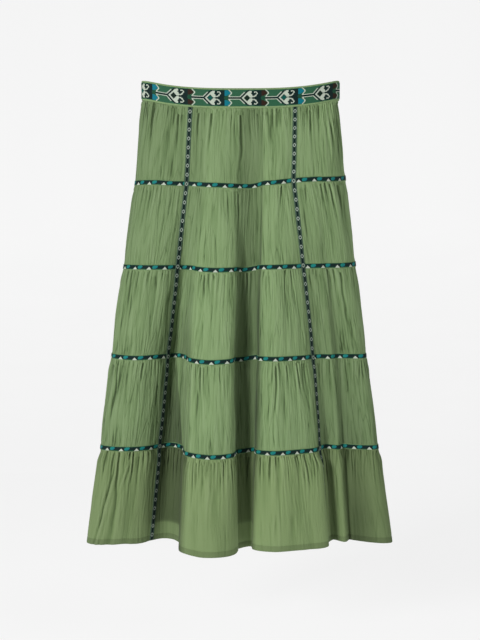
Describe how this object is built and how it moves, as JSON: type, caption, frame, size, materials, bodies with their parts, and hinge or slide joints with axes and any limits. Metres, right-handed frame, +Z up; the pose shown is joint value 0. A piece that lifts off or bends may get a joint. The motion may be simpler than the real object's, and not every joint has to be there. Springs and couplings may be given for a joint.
{
  "type": "maxi skirt",
  "caption": "Tiered maxi skirt of crinkled cotton with a patterned waistband and narrow woven ribbons, filled out and open at waist and hem.",
  "frame": {"origin": "centre of the waist opening, at half the waistband's height at the side seams", "axes": "+Z up, towards the waist; the front faces -Y; +X is to the right as the front is seen"},
  "size_m": [0.59, 0.2457, 0.8824],
  "materials": {
    "sage_cotton": "matt crinkled cotton",
    "waist_ribbon": "woven patterned ribbon",
    "narrow_ribbon": "woven patterned ribbon"
  },
  "bodies": {
    "root": {"waistband_front": "sage_cotton", "waistband_back": "sage_cotton", "waist_ribbon_front": "waist_ribbon", "waist_ribbon_back": "waist_ribbon", "tier_1_front": "sage_cotton", "tier_1_back": "sage_cotton", "tier_2_front": "sage_cotton", "tier_2_back": "sage_cotton", "tier_3_front": "sage_cotton", "tier_3_back": "sage_cotton", "tier_4_front": "sage_cotton", "tier_4_back": "sage_cotton", "tier_5_front": "sage_cotton", "tier_5_back": "sage_cotton", "seam_ribbon_1_front": "narrow_ribbon", "seam_ribbon_1_back": "narrow_ribbon", "seam_ribbon_2_front": "narrow_ribbon", "seam_ribbon_2_back": "narrow_ribbon", "seam_ribbon_3_front": "narrow_ribbon", "seam_ribbon_3_back": "narrow_ribbon", "seam_ribbon_4_front": "narrow_ribbon", "seam_ribbon_4_back": "narrow_ribbon", "upright_ribbon_left": "narrow_ribbon", "upright_ribbon_right": "narrow_ribbon"}
  },
  "joints": []
}
